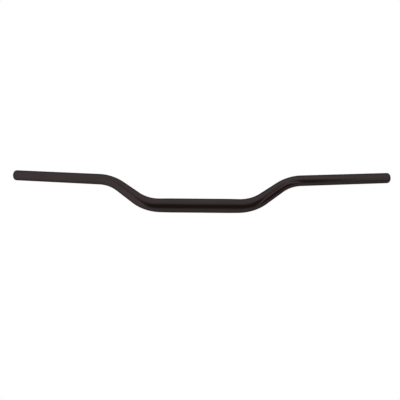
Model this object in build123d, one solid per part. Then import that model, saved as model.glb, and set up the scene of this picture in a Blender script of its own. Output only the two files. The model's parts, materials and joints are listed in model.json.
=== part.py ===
from build123d import *

import os
from itertools import pairwise
from math import cos, radians, tan

# One bent and tapered aluminium tube, with a push-in plug in each end.
# The origin is the middle of the clamping zone, on the tube's centreline. +X runs along that
# zone to the rider's left hand, +Y runs back to the rider and +Z is up. The grips are level.
# Lengths are in millimetres and angles in degrees.

# The tube tapers from the clamping zone to the grips, with the same wall all the way.
CLAMP_DIAMETER = 28.6
GRIP_DIAMETER = 22.2
WALL = 4.0
CLAMP_ZONE_LENGTH = 130.0
TAPER_START = CLAMP_ZONE_LENGTH / 2  # distances along the centreline, from its middle
TAPER_END = 200.0
END_CHAMFER = 0.6

# The centreline of each side: along the clamping zone to the knee, up and back to the
# shoulder, then out along the grip.
WIDTH = 808.0  # between the tops of the plugs' heads
KNEE_X = 106.5
SHOULDER_X = 183.5
SHOULDER_BACK = 42.0
RISE = 45.5
SWEEP_ANGLE = 16.0
KNEE_RADIUS = 80.0
SHOULDER_RADIUS = 100.0

# A plug: a crowned head as wide as the grip, over a hollow stem with fins that hold it in.
HEAD_RADIUS = 11.0
HEAD_HEIGHT = 5.0
HEAD_RIM = 4.7  # where the crown would meet the head's side
HEAD_ROUND = 3.4
HEAD_CHAMFER = 0.4
STEM_RADIUS = 5.4
STEM_LENGTH = 27.0
STEM_HOLE_RADIUS = 3.6
STEM_HOLE_DEPTH = 28.5  # a little way into the head
STEM_CHAMFER = 0.6
COLLAR_LENGTH = 2.0
FIN_RADIUS = GRIP_DIAMETER / 2 - WALL - 0.05
FIN_COUNT = 5
FIN_PITCH = 4.5
FIN_LIP = 0.7
FIN_SLOPE = 2.0

SIDES = {"left": 1, "right": -1}  # the side of the X axis on which each hand's grip is


def outer_radius(distance):
    """The tube's outer radius at a distance along its centreline."""
    share = (distance - TAPER_START) / (TAPER_END - TAPER_START)
    share = min(max(share, 0), 1)
    return (CLAMP_DIAMETER + share * (GRIP_DIAMETER - CLAMP_DIAMETER)) / 2


def end_plane(side):
    """The plane of the tube's end face, looking out along the grip."""
    sweep_angle = radians(SWEEP_ANGLE)
    end_x = WIDTH / 2 - HEAD_HEIGHT * cos(sweep_angle)
    end_back = SHOULDER_BACK + (end_x - SHOULDER_X) * tan(sweep_angle)
    return Plane((side * end_x, end_back, RISE), z_dir=(side, tan(sweep_angle), 0))


def centreline(side):
    """The centreline of one side, from the middle out to the end."""
    corners = [
        (0, 0, 0),
        (side * KNEE_X, 0, 0),
        (side * SHOULDER_X, SHOULDER_BACK, RISE),
        end_plane(side).origin,
    ]
    return FilletPolyline(*corners, radius=[KNEE_RADIUS, SHOULDER_RADIUS])


def stretches(side):
    """The lines and arcs of one side outside the clamping zone, each with its end radii."""
    found = []
    travelled = 0
    for edge in centreline(side).edges():
        cuts = [(distance - travelled) / edge.length for distance in (TAPER_START, TAPER_END)]
        cuts = [0, *(cut for cut in cuts if 0 < cut < 1), 1]
        for first, last in pairwise(cuts):
            radii = [outer_radius(travelled + cut * edge.length) for cut in (first, last)]
            found.append((edge.trim(first, last), *radii))
        travelled += edge.length
    return found[1:]


def rod(path, start_radius, end_radius):
    """A solid rod along a line or an arc, from one radius to the other."""
    if path.geom_type == GeomType.LINE:
        plane = Plane(path @ 0, z_dir=path % 0)
        if start_radius == end_radius:
            return Solid.make_cylinder(start_radius, path.length, plane)
        return Solid.make_cone(start_radius, end_radius, path.length, plane)
    sections = [
        Plane(path @ share, x_dir=path.normal(), z_dir=path % share) * Circle(radius)
        for share, radius in enumerate([start_radius, end_radius])
    ]
    if start_radius == end_radius:
        return sweep(sections[0], path)
    return sweep(sections, path, multisection=True)


def bent_rod(inset):
    """The whole bar as a solid rod, this far inside the tube's outer surface."""
    clamp_zone = Rot(Y=90) * Cylinder(CLAMP_DIAMETER / 2 - inset, CLAMP_ZONE_LENGTH)
    return clamp_zone + [
        rod(path, start_radius - inset, end_radius - inset)
        for side in SIDES.values()
        for path, start_radius, end_radius in stretches(side)
    ]


def bar_tube():
    """The whole tube, with both edges of each end face chamfered."""
    tube = bent_rod(0) - bent_rod(WALL)
    right_end, *_, left_end = tube.faces().sort_by(Axis.X)
    return chamfer([*right_end.edges(), *left_end.edges()], END_CHAMFER)


def plug_head():
    """A plug's head, standing on the XY plane."""
    crown = TangentArc((0, HEAD_HEIGHT), (HEAD_RADIUS, HEAD_RIM), tangent=(1, 0))
    sides = Polyline((0, HEAD_HEIGHT), (0, 0), (HEAD_RADIUS, 0), (HEAD_RADIUS, HEAD_RIM))
    section = make_face(crown + sides)
    section = fillet(section.vertices().group_by(Axis.X)[-1].sort_by(Axis.Y)[-1], HEAD_ROUND)
    section = chamfer(section.vertices().group_by(Axis.X)[-1].sort_by(Axis.Y)[0], HEAD_CHAMFER)
    return revolve(Plane.XZ * section, Axis.Z)


def plug():
    """A plug that stands up the Z axis, with the seat of its head on the XY plane."""
    upright = (Align.CENTER, Align.CENTER, Align.MIN)
    stem = Pos(Z=-STEM_LENGTH) * Cylinder(STEM_RADIUS, STEM_LENGTH, align=upright)
    stem = chamfer(stem.edges().sort_by(Axis.Z)[0], STEM_CHAMFER)
    body = plug_head() + stem
    body += Pos(Z=-COLLAR_LENGTH) * Cylinder(FIN_RADIUS, COLLAR_LENGTH, align=upright)
    for index in range(FIN_COUNT):
        base = -COLLAR_LENGTH - (index + 1) * FIN_PITCH
        body += Pos(Z=base) * Cone(STEM_RADIUS, FIN_RADIUS, FIN_SLOPE, align=upright)
        body += Pos(Z=base + FIN_SLOPE) * Cylinder(FIN_RADIUS, FIN_LIP, align=upright)
    hole = Cylinder(STEM_HOLE_RADIUS, STEM_HOLE_DEPTH, align=upright)
    return body - Pos(Z=-STEM_LENGTH) * hole


nodes = {"bar_tube": bar_tube()}
for hand, side in SIDES.items():
    nodes[f"{hand}_end_plug"] = end_plane(side) * plug()

os.makedirs("parts", exist_ok=True)
for name, shape in nodes.items():
    export_step(shape, f"parts/{name}.step")
    size = shape.bounding_box().size
    print(f"{name}: {len(shape.solids())} solid, valid {shape.is_valid}, {shape.volume:.0f} mm3")
    print(f"    {size.X:.1f} x {size.Y:.1f} x {size.Z:.1f} mm")
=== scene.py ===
import json
from math import asin, ceil, cos, degrees, pi, radians, sin, sqrt, tan

import bmesh
import bpy
from mathutils import Matrix, Vector


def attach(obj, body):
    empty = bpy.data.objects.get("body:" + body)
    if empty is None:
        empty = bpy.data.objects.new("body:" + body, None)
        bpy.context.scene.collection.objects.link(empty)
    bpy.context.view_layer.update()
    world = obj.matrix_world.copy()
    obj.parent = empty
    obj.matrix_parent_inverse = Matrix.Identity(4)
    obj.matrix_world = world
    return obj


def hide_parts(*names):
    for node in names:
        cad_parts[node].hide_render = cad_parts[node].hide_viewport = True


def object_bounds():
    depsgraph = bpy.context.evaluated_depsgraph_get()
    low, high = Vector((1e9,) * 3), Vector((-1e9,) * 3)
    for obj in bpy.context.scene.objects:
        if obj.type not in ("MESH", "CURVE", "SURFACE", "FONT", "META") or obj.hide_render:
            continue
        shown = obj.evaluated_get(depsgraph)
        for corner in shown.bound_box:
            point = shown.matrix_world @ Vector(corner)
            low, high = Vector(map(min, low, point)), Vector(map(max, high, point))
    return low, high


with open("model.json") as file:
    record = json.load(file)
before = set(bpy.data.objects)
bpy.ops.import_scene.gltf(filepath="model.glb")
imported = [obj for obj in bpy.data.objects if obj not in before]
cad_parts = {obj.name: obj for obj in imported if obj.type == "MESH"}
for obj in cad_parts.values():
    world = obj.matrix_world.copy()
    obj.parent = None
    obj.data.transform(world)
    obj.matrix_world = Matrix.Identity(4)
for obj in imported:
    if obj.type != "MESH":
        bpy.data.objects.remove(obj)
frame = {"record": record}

cad_low, cad_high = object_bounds()
mounts = {mount["name"]: mount for mount in frame["record"]["mounts"]}

# Lengths are in metres. The bar's and the plugs' sizes are the ones in the part's source.
CLAMP_RADIUS = mounts["clamp_zone"]["dims"]["r_mm"] / 1000
GRIP_RADIUS = mounts["left_grip"]["dims"]["r_mm"] / 1000
TAPER_START = mounts["clamp_zone"]["dims"]["length_mm"] / 2000
TAPER_END = 0.2
WALL = 0.004
END_CHAMFER = 0.0006
WIDTH = 0.808
KNEE = Vector((0.1065, 0, 0))
SHOULDER = Vector((0.1835, 0.042, 0.0455))
SWEEP_ANGLE = radians(16)
KNEE_RADIUS = 0.08
SHOULDER_RADIUS = 0.1

HEAD_RADIUS = 0.011
HEAD_HEIGHT = 0.005
HEAD_RIM = 0.0047
HEAD_ROUND = 0.0034
HEAD_CHAMFER = 0.0004
STEM_RADIUS = 0.0054
STEM_LENGTH = 0.027
STEM_CHAMFER = 0.0006
HOLE_RADIUS = 0.0036
HOLE_DEPTH = 0.0285
COLLAR_LENGTH = 0.002
FIN_RADIUS = GRIP_RADIUS - WALL - 0.00005
FIN_COUNT = 5
FIN_PITCH = 0.0045
FIN_LIP = 0.0007
FIN_SLOPE = 0.002
GATE_RADIUS = 0.0011
GATE_BOTTOM_RADIUS = GATE_RADIUS * 0.85
GATE_DEPTH = 0.0002

SPOKES = 72  # faces round a ring
BEND_STEP = radians(2)
STRAIGHT_STEP = 0.025
ROUNDING_STEPS = 12
CROWN_RINGS = (0.8, 0.6, 0.4, 0.25)  # shares of the crown's radius
SAME_PLACE = 1e-6
SHARP_ANGLE = radians(35)


# ---- Modelling with a ring of vertices that is extruded on, again and again ----


def only(piece):
    """Makes a piece the one that the next operators act on."""
    bpy.ops.object.select_all(action="DESELECT")
    piece.select_set(True)
    bpy.context.view_layer.objects.active = piece


def first_ring(name, radius, centre, direction, fill_type):
    """Starts a piece as a circle that faces a direction, all selected in edit mode."""
    bpy.ops.object.select_all(action="DESELECT")
    bpy.ops.mesh.primitive_circle_add(
        vertices=SPOKES,
        radius=radius,
        fill_type=fill_type,
        location=centre,
        rotation=direction.to_track_quat("Z", "Y").to_euler(),
    )
    piece = bpy.context.object
    piece.name = piece.data.name = name
    bpy.ops.object.transform_apply()
    bpy.ops.object.mode_set(mode="EDIT")
    bpy.ops.mesh.select_all(action="SELECT")
    return piece


def extrude_ring(step, scale, centre):
    """Extrudes the selected ring by a step, then scales it about its new centre."""
    bpy.ops.mesh.extrude_region_move(TRANSFORM_OT_translate={"value": step})
    bpy.ops.transform.resize(value=(scale, scale, scale), center_override=centre)


def close_up(piece):
    """Joins the rings that meet, turns all faces outwards and shades the result smooth."""
    bpy.ops.mesh.select_all(action="SELECT")
    bpy.ops.mesh.remove_doubles(threshold=SAME_PLACE)
    bpy.ops.mesh.normals_make_consistent(inside=False)
    bpy.ops.object.mode_set(mode="OBJECT")
    only(piece)
    bpy.ops.object.shade_smooth_by_angle(angle=SHARP_ANGLE)


# ---- The tube ----


class Line:
    """A straight stretch of the tube's centreline."""

    def __init__(self, length):
        self.length = length

    def mirrored(self):
        return self

    def reversed(self):
        return self

    def walk(self, ring, inset):
        steps = ceil(self.length / STRAIGHT_STEP)
        for _ in range(steps):
            ring.go_straight(self.length / steps, inset)


class Arc:
    """A bend of the tube's centreline, about an axis through its centre."""

    def __init__(self, centre, axis, radius, angle):
        self.centre = centre
        self.axis = axis
        self.radius = radius
        self.angle = angle
        self.length = radius * abs(angle)

    def mirrored(self):
        flip = Vector((-1, 1, 1))
        return Arc(self.centre * flip, self.axis * flip, self.radius, -self.angle)

    def reversed(self):
        return Arc(self.centre, self.axis, self.radius, -self.angle)

    def walk(self, ring, inset):
        steps = ceil(abs(self.angle) / BEND_STEP)
        for _ in range(steps):
            ring.go_round(self, self.angle / steps, inset)


class Ring:
    """A ring that is walked along the centreline and leaves the tube's skin behind it.

    Each vertex keeps, as "unbent", the place it would have on a straight bar along the X axis.
    """

    def __init__(self, name, radius, centre, direction, along):
        self.radius = radius
        self.centre = centre
        self.direction = direction
        self.along = along  # distance from the tube's middle, growing towards the left hand
        self.way = 1
        self.piece = first_ring(name, radius, centre, direction, "NOTHING")
        mesh = bmesh.from_edit_mesh(self.piece.data)
        mesh.verts.layers.float.new("spoke")
        mesh.verts.layers.float_vector.new("unbent")
        spoke = mesh.verts.layers.float["spoke"]
        for index, vertex in enumerate(mesh.verts):
            vertex[spoke] = 2 * pi * index / SPOKES
        self.note()

    def note(self):
        mesh = bmesh.from_edit_mesh(self.piece.data)
        spoke = mesh.verts.layers.float["spoke"]
        unbent = mesh.verts.layers.float_vector["unbent"]
        for vertex in mesh.verts:
            if vertex.select:
                across = self.radius * cos(vertex[spoke])
                up = self.radius * sin(vertex[spoke])
                vertex[unbent] = Vector((self.along, across, up))

    def step(self, length, radius):
        """Extrudes the ring straight on by a length, to a radius."""
        move = self.direction * length
        self.centre = self.centre + move
        self.along += self.way * length
        extrude_ring(move, radius / self.radius, self.centre)
        self.radius = radius
        self.note()

    def go_straight(self, length, inset):
        self.step(length, outer_radius(self.along + self.way * length) - inset)

    def go_round(self, arc, angle, inset):
        """Spins the ring on by an angle of an arc."""
        bpy.ops.mesh.spin(steps=1, angle=-angle, center=arc.centre, axis=arc.axis)
        turn = Matrix.Rotation(angle, 3, arc.axis)
        self.centre = arc.centre + turn @ (self.centre - arc.centre)
        self.direction = turn @ self.direction
        self.along += self.way * abs(angle) * arc.radius
        radius = outer_radius(self.along) - inset
        share = radius / self.radius
        bpy.ops.transform.resize(value=(share, share, share), center_override=self.centre)
        self.radius = radius
        self.note()

    def turn_back(self):
        self.direction = -self.direction
        self.way = -self.way


def outer_radius(along):
    """The tube's outer radius at a distance along its centreline."""
    share = (abs(along) - TAPER_START) / (TAPER_END - TAPER_START)
    share = min(max(share, 0), 1)
    return CLAMP_RADIUS + share * (GRIP_RADIUS - CLAMP_RADIUS)


def grip_direction(side):
    """The way out along a grip, on the left, +1, or the right, -1."""
    return Vector((side * cos(SWEEP_ANGLE), sin(SWEEP_ANGLE), 0))


def tube_end(side):
    """The middle of the tube's end face."""
    end_x = WIDTH / 2 - HEAD_HEIGHT * cos(SWEEP_ANGLE)
    end_back = SHOULDER.y + (end_x - SHOULDER.x) * tan(SWEEP_ANGLE)
    return Vector((side * end_x, end_back, SHOULDER.z))


def left_side():
    """The stretches of the centreline from the middle out to the left end's chamfer."""
    stretches = []
    start, direction = Vector((0, 0, 0)), Vector((1, 0, 0))
    corners = [(KNEE, SHOULDER, KNEE_RADIUS), (SHOULDER, tube_end(1), SHOULDER_RADIUS)]
    for corner, target, radius in corners:
        onward = (target - corner).normalized()
        axis = direction.cross(onward).normalized()
        angle = direction.angle(onward)
        cut = radius * tan(angle / 2)
        centre = corner - direction * cut + axis.cross(direction) * radius
        stretches += [Line((corner - start).length - cut), Arc(centre, axis, radius, angle)]
        start, direction = corner + onward * cut, onward
    return [*stretches, Line((tube_end(1) - start).length - END_CHAMFER)]


def half_length():
    """The centreline's length from the tube's middle to one of its end faces."""
    return sum(stretch.length for stretch in left_side()) + END_CHAMFER


def make_tube():
    """The whole wall: outside from right to left, over the left end, and back inside."""
    left = left_side()
    right = [stretch.mirrored() for stretch in left]
    route = [stretch.reversed() for stretch in reversed(right)] + left
    end_outer = GRIP_RADIUS - END_CHAMFER
    end_inner = GRIP_RADIUS - WALL + END_CHAMFER
    ring = Ring("bar_wall", end_outer, tube_end(-1), -grip_direction(-1), -half_length())
    ring.step(END_CHAMFER, GRIP_RADIUS)
    for stretch in route:
        stretch.walk(ring, 0)
    ring.step(END_CHAMFER, end_outer)
    ring.step(0, end_inner)
    ring.turn_back()
    ring.step(END_CHAMFER, GRIP_RADIUS - WALL)
    for stretch in reversed(route):
        stretch.reversed().walk(ring, WALL)
    ring.step(END_CHAMFER, end_inner)
    ring.step(0, end_outer)
    close_up(ring.piece)
    return ring.piece


# ---- The plugs ----


def head_profile():
    """Radii and heights of the head's outline, from its seat up to the gate mark on its top."""
    crown_radius = (HEAD_RADIUS**2 + (HEAD_HEIGHT - HEAD_RIM) ** 2) / 2 / (HEAD_HEIGHT - HEAD_RIM)
    crown_centre = HEAD_HEIGHT - crown_radius
    round_radius = HEAD_RADIUS - HEAD_ROUND
    round_height = crown_centre + sqrt((crown_radius - HEAD_ROUND) ** 2 - round_radius**2)
    lean = asin(round_radius / (crown_radius - HEAD_ROUND))
    points = [(HEAD_RADIUS - HEAD_CHAMFER, 0), (HEAD_RADIUS, HEAD_CHAMFER)]
    for index in range(ROUNDING_STEPS + 1):
        angle = (pi / 2 - lean) * index / ROUNDING_STEPS
        across, up = HEAD_ROUND * cos(angle), HEAD_ROUND * sin(angle)
        points.append((round_radius + across, round_height + up))
    for share in CROWN_RINGS:
        radius = HEAD_RADIUS * share * 0.7
        points.append((radius, crown_centre + sqrt(crown_radius**2 - radius**2)))
    gate_top = crown_centre + sqrt(crown_radius**2 - GATE_RADIUS**2)
    points += [(GATE_RADIUS, gate_top), (GATE_BOTTOM_RADIUS, gate_top - GATE_DEPTH)]
    return points


def fin_profile():
    """Radii and heights of the fins' outline, from the tip's fin up to the one by the collar."""
    points = []
    for index in reversed(range(FIN_COUNT)):
        base = -COLLAR_LENGTH - (index + 1) * FIN_PITCH
        top = base + FIN_SLOPE + FIN_LIP
        points += [(STEM_RADIUS, base), (FIN_RADIUS, base + FIN_SLOPE)]
        points += [(FIN_RADIUS, top), (STEM_RADIUS, top)]
    return points


def make_plug(name, side):
    """A plug turned from one ring: down its hole, over its tip and up to its crown."""
    seat, out = tube_end(side), grip_direction(side)
    radius, height = HOLE_RADIUS, HOLE_DEPTH - STEM_LENGTH
    profile = [
        (HOLE_RADIUS, -STEM_LENGTH),
        (STEM_RADIUS - STEM_CHAMFER, -STEM_LENGTH),
        (STEM_RADIUS, STEM_CHAMFER - STEM_LENGTH),
        *fin_profile(),
        (STEM_RADIUS, -COLLAR_LENGTH),
        (FIN_RADIUS, -COLLAR_LENGTH),
        (FIN_RADIUS, 0),
        *head_profile(),
    ]
    piece = first_ring(name, radius, seat + out * height, out, "TRIFAN")
    for new_radius, new_height in profile:
        move = out * (new_height - height)
        extrude_ring(move, new_radius / radius, seat + out * new_height)
        radius, height = new_radius, new_height
    close_up(piece)
    note_own_place(piece, seat, out)
    return piece


def note_own_place(piece, seat, out):
    """Stores on each vertex, as "own", its place with the plug stood upright on its seat."""
    upright = out.rotation_difference(Vector((0, 0, 1)))
    own = piece.data.attributes.new("own", "FLOAT_VECTOR", "POINT")
    for vertex in piece.data.vertices:
        own.data[vertex.index].vector = upright @ (vertex.co - seat)


# ---- Finishes ----

ANODISED_DARK = (0.0445, 0.0335, 0.0345, 1)
ANODISED_LIGHT = (0.0525, 0.0395, 0.0405, 1)
ANODISED_EDGE_TINT = (0.4, 0.4, 0.4, 1)  # holds back the pale rim where light grazes
RUBBED_METAL = (0.22, 0.205, 0.2, 1)
PLASTIC_DARK = (0.020, 0.0125, 0.013, 1)
PLASTIC_LIGHT = (0.026, 0.017, 0.0175, 1)
PLASTIC_TINT = (1, 0.78, 0.8, 1)
PLASTIC_IOR = 1.5
PURE_WHITE = (1, 1, 1, 1)
BLACK = (0, 0, 0, 1)


class Value:
    """A shader socket that takes part in sums."""

    def __init__(self, nodes, socket):
        self.nodes = nodes
        self.socket = socket

    def __add__(self, other):
        return self.nodes.sum_of("ADD", self, other)

    def __sub__(self, other):
        return self.nodes.sum_of("SUBTRACT", self, other)

    def __mul__(self, other):
        return self.nodes.sum_of("MULTIPLY", self, other)

    def __neg__(self):
        return self.nodes.sum_of("MULTIPLY", self, -1)

    def __rsub__(self, other):
        return self.nodes.sum_of("SUBTRACT", other, self)

    __radd__ = __add__
    __rmul__ = __mul__


class Nodes:
    """The nodes of a material or of the world."""

    def __init__(self, owner):
        owner.use_nodes = True
        self.tree = owner.node_tree

    def connect(self, node, inputs):
        for socket, value in inputs.items():
            if isinstance(value, Value):
                self.tree.links.new(value.socket, node.inputs[socket])
            else:
                node.inputs[socket].default_value = value

    def node(self, kind, settings, inputs, output=0):
        """Adds a node with its settings and inputs, and returns one of its outputs."""
        node = self.tree.nodes.new("ShaderNode" + kind)
        for name, value in settings.items():
            setattr(node, name, value)
        self.connect(node, inputs)
        return Value(self, node.outputs[output]) if len(node.outputs) else None

    def sum_of(self, operation, first, second):
        return self.node("Math", {"operation": operation}, {0: first, 1: second})

    def attribute(self, name):
        return self.node("Attribute", {"attribute_name": name}, {}, "Vector")

    def stretched(self, place, scales):
        return self.node("VectorMath", {"operation": "MULTIPLY"}, {0: place, 1: scales})

    def parts_of(self, place):
        return [self.node("SeparateXYZ", {}, {0: place}, axis) for axis in "XYZ"]

    def noise(self, place, detail):
        return self.node("TexNoise", {}, {"Vector": place, "Scale": 1, "Detail": detail})

    def step(self, value, low, high, start=0, end=1):
        """Goes smoothly from a start to an end as a value goes from low to high."""
        inputs = {"Value": value, 1: low, 2: high, 3: start, 4: end}
        return self.node("MapRange", {"interpolation_type": "SMOOTHSTEP"}, inputs)

    def mix(self, share, first, second):
        """A colour between two."""
        return self.node("Mix", {"data_type": "RGBA"}, {0: share, 6: first, 7: second}, 2)

    def bump(self, height, strength, distance):
        inputs = {"Height": height, "Strength": strength, "Distance": distance}
        return self.node("Bump", {}, inputs)


def finish(name, constants):
    """A new material, its nodes and its surface shader with some constant settings."""
    material = bpy.data.materials.new(name)
    nodes = Nodes(material)
    surface = nodes.tree.nodes["Principled BSDF"]
    nodes.connect(surface, constants)
    return material, nodes, surface


def anodised_aluminium():
    """Satin brown-black anodising over a drawn and blasted tube, rubbed thin at its ends."""
    material, nodes, surface = finish(
        "anodised_aluminium", {"Metallic": 1, "Specular Tint": ANODISED_EDGE_TINT}
    )
    place = nodes.attribute("unbent")
    clouds = nodes.noise(nodes.stretched(place, (18, 60, 60)), 3)
    draw_lines = nodes.noise(nodes.stretched(place, (7, 900, 900)), 2)
    blasting = nodes.noise(nodes.stretched(place, (4200, 4200, 4200)), 1)
    tone = nodes.step(clouds * 0.7 + draw_lines * 0.3, 0.3, 0.7)
    colour = nodes.mix(tone, ANODISED_DARK, ANODISED_LIGHT)
    along = nodes.parts_of(place)[0]
    to_end = half_length() - nodes.node("Math", {"operation": "ABSOLUTE"}, {0: along})
    chips = nodes.noise(nodes.stretched(place, (500, 500, 500)), 3)
    worn = nodes.step(to_end - chips * 0.0011, -0.0004, -0.0001, 1, 0)
    colour = nodes.mix(worn * 0.4, colour, RUBBED_METAL)
    roughness = 0.06 + clouds * 0.05 + draw_lines * 0.08 + worn * 0.15
    normal = nodes.bump(draw_lines * 0.6 + blasting * 0.08, 1, 0.00004)
    nodes.connect(surface, {"Base Color": colour, "Roughness": roughness, "Normal": normal})
    return material


def moulded_plastic():
    """Brown-black plastic with the fine texture of its mould."""
    material, nodes, surface = finish(
        "moulded_plastic", {"Metallic": 0, "IOR": PLASTIC_IOR, "Specular Tint": PLASTIC_TINT}
    )
    place = nodes.attribute("own")
    clouds = nodes.noise(nodes.stretched(place, (90, 90, 90)), 3)
    sparks = nodes.noise(nodes.stretched(place, (5200, 5200, 5200)), 2)
    tone = nodes.step(clouds, 0.3, 0.7)
    colour = nodes.mix(tone, PLASTIC_DARK, PLASTIC_LIGHT)
    roughness = 0.3 + clouds * 0.08
    normal = nodes.bump(sparks, 0.45, 0.00002)
    nodes.connect(surface, {"Base Color": colour, "Roughness": roughness, "Normal": normal})
    return material


def dress(piece, material):
    piece.data.materials.clear()
    piece.data.materials.append(material)


# ---- The studio ----

FLOOR_SIZE = 30
FLOOR_DROP = 0.3  # the bar is shown held up above the floor
CAMERA_ELEVATION = 0.1638
CAMERA_AZIMUTH = -0.02272
CAMERA_ROLL = 0.00477
CAMERA_PLACE = Vector((0.00147, -1.2, 0.0114))
CAMERA_LENS = 53.915
CAMERA_SENSOR_WIDTH = 36
CREAM = (1, 0.97, 0.8, 1)
ROOM_LEVEL = 0.21  # light from where there is no lamp


def make_camera():
    """Looks along +Y at the bar, a little from above."""
    turn = (
        Matrix.Rotation(CAMERA_ROLL, 4, "Y")
        @ Matrix.Rotation(CAMERA_ELEVATION, 4, "X")
        @ Matrix.Rotation(CAMERA_AZIMUTH, 4, "Z")
    )
    bpy.ops.object.camera_add()
    camera = bpy.context.object
    camera.name = "camera"
    camera.matrix_world = (
        turn.inverted() @ Matrix.Translation(CAMERA_PLACE) @ Matrix.Rotation(pi / 2, 4, "X")
    )
    camera.data.lens = CAMERA_LENS
    camera.data.sensor_width = CAMERA_SENSOR_WIDTH
    bpy.context.scene.camera = camera


def make_floor():
    """A wide, pale floor that only the camera sees."""
    bpy.ops.object.select_all(action="DESELECT")
    bpy.ops.mesh.primitive_plane_add(size=FLOOR_SIZE, location=(0, 0, cad_low.z - FLOOR_DROP))
    floor = bpy.context.object
    floor.name = "floor"
    constants = {"Base Color": BLACK, "Specular IOR Level": 0}
    constants |= {"Emission Color": PURE_WHITE, "Emission Strength": 1}
    dress(floor, finish("pale_floor", constants)[0])
    floor.visible_glossy = False
    floor.visible_diffuse = False


def make_world():
    """White behind the bar for the camera, and for reflections a dim room with soft lights.

    Every light is drawn by its direction from the bar, in degrees: "around" is 0 in front and
    90 to the right, and "above" is 90 straight up. Levels are shares of pure white.
    """
    world = bpy.data.worlds.new("studio")
    bpy.context.scene.world = world
    nodes = Nodes(world)
    nodes.tree.nodes.clear()
    right, back, up = nodes.parts_of(nodes.node("TexCoord", {}, {}, "Generated"))
    around = nodes.sum_of("ARCTAN2", right, -back) * degrees(1)
    above = nodes.node("Math", {"operation": "ARCSINE"}, {0: up}) * degrees(1)

    def near(angle, low, high):
        """1 round about an angle, and falling to 0 from low to high degrees away from it."""
        return nodes.step(nodes.sum_of("ABSOLUTE", around - angle, 0), low, high, 1, 0)

    # A canopy overhead, whose edge is higher in both front corners and lower left of the front.
    corners = near(37, 5, 15) * 18 + near(-44, 3, 10) * 9 - near(-24, 3, 14) * 7
    overhead = nodes.step(above - corners, 0, 58, 0, 0.86)

    # A bright wall on the left, whose edge comes nearest to the front at mid height, and the
    # dim light that spills from it towards the front.
    edge = nodes.step(above, 12, 24, 0, 6) + nodes.step(above, 35, 55, 0, 9)
    edge = edge + nodes.step(above, -30, -20, 6, 0)
    left_wall = nodes.step(around + edge, -40.5, -37, 1, 0)
    left_wall = left_wall * nodes.step(above, -60, -36, 0.8, 0.98)
    spill = nodes.step(around, -44, -12, 0.45, 0)

    # On the right, a high soft box and below it a narrow, upright strip.
    right_box = nodes.step(around, 42.5, 46) * nodes.step(above, 10, 22, 0, 1)
    strip = near(48.5 - above * 0.04, 3.2, 5.2) * nodes.step(above, -36, -24, 0, 0.95)
    strip = strip * nodes.step(above, 18, 26, 1, 0)

    # Light that comes back up from the floor, highest on the far right, and a pale backdrop.
    low_light = nodes.step(above - nodes.step(around, 55, 95, 0, 20), -58, -9, 0.7, 0)
    backdrop = nodes.step(nodes.sum_of("ABSOLUTE", around, 0), 115, 140, 0, 0.6)

    level = overhead
    for light in (left_wall, spill, right_box, strip, low_light, backdrop, ROOM_LEVEL):
        level = nodes.sum_of("MAXIMUM", level, light)
    colour = nodes.mix(nodes.step(level, 0.2, 0.8), CREAM, PURE_WHITE)
    seen = nodes.node("LightPath", {}, {}, "Is Camera Ray")
    room = nodes.node("Background", {}, {"Color": colour, "Strength": level})
    white = nodes.node("Background", {}, {"Color": PURE_WHITE, "Strength": 1})
    shown = nodes.node("MixShader", {}, {0: seen, 1: room, 2: white})
    nodes.node("OutputWorld", {}, {"Surface": shown})


# ---- The bar, its plugs and the scene ----

tube = make_tube()
dress(tube, anodised_aluminium())
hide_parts("bar_tube")
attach(tube, "bar")

plastic = moulded_plastic()
for hand, side in (("left", 1), ("right", -1)):
    plug = make_plug(f"{hand}_plug_moulding", side)
    dress(plug, plastic)
    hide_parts(f"{hand}_end_plug")
    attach(plug, f"{hand}_plug")

make_camera()
make_floor()
make_world()

scene = bpy.context.scene
scene.view_settings.view_transform = "Standard"
scene.view_settings.look = "None"
